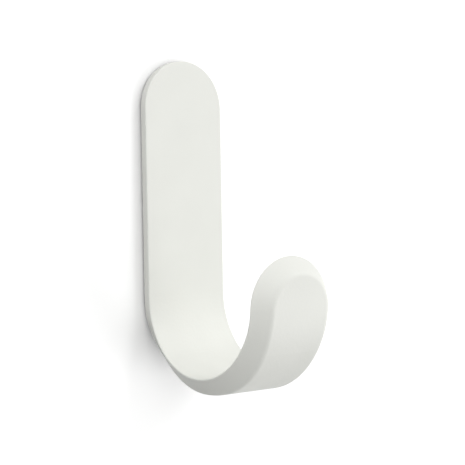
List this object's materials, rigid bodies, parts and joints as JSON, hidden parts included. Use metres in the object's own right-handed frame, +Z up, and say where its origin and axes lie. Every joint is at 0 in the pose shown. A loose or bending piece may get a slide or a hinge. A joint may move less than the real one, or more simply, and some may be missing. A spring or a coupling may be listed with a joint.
{
  "type": "wall hook",
  "caption": "One-piece J-shaped wall hook: flat round-topped back plate, full-width inner curve, leaning side walls and a softened round tip; fixed from behind.",
  "frame": {"origin": "centre of the flat back, on the wall plane", "axes": "+Y into the wall, +Z up the plate, X across the hook; the hook reaches out of the wall along -Y"},
  "size_m": [0.03, 0.0581, 0.103],
  "materials": {
    "powder_coated_metal": "satin off-white powder coat on cast metal"
  },
  "bodies": {
    "root": {"hook_body": "powder_coated_metal"}
  },
  "joints": []
}
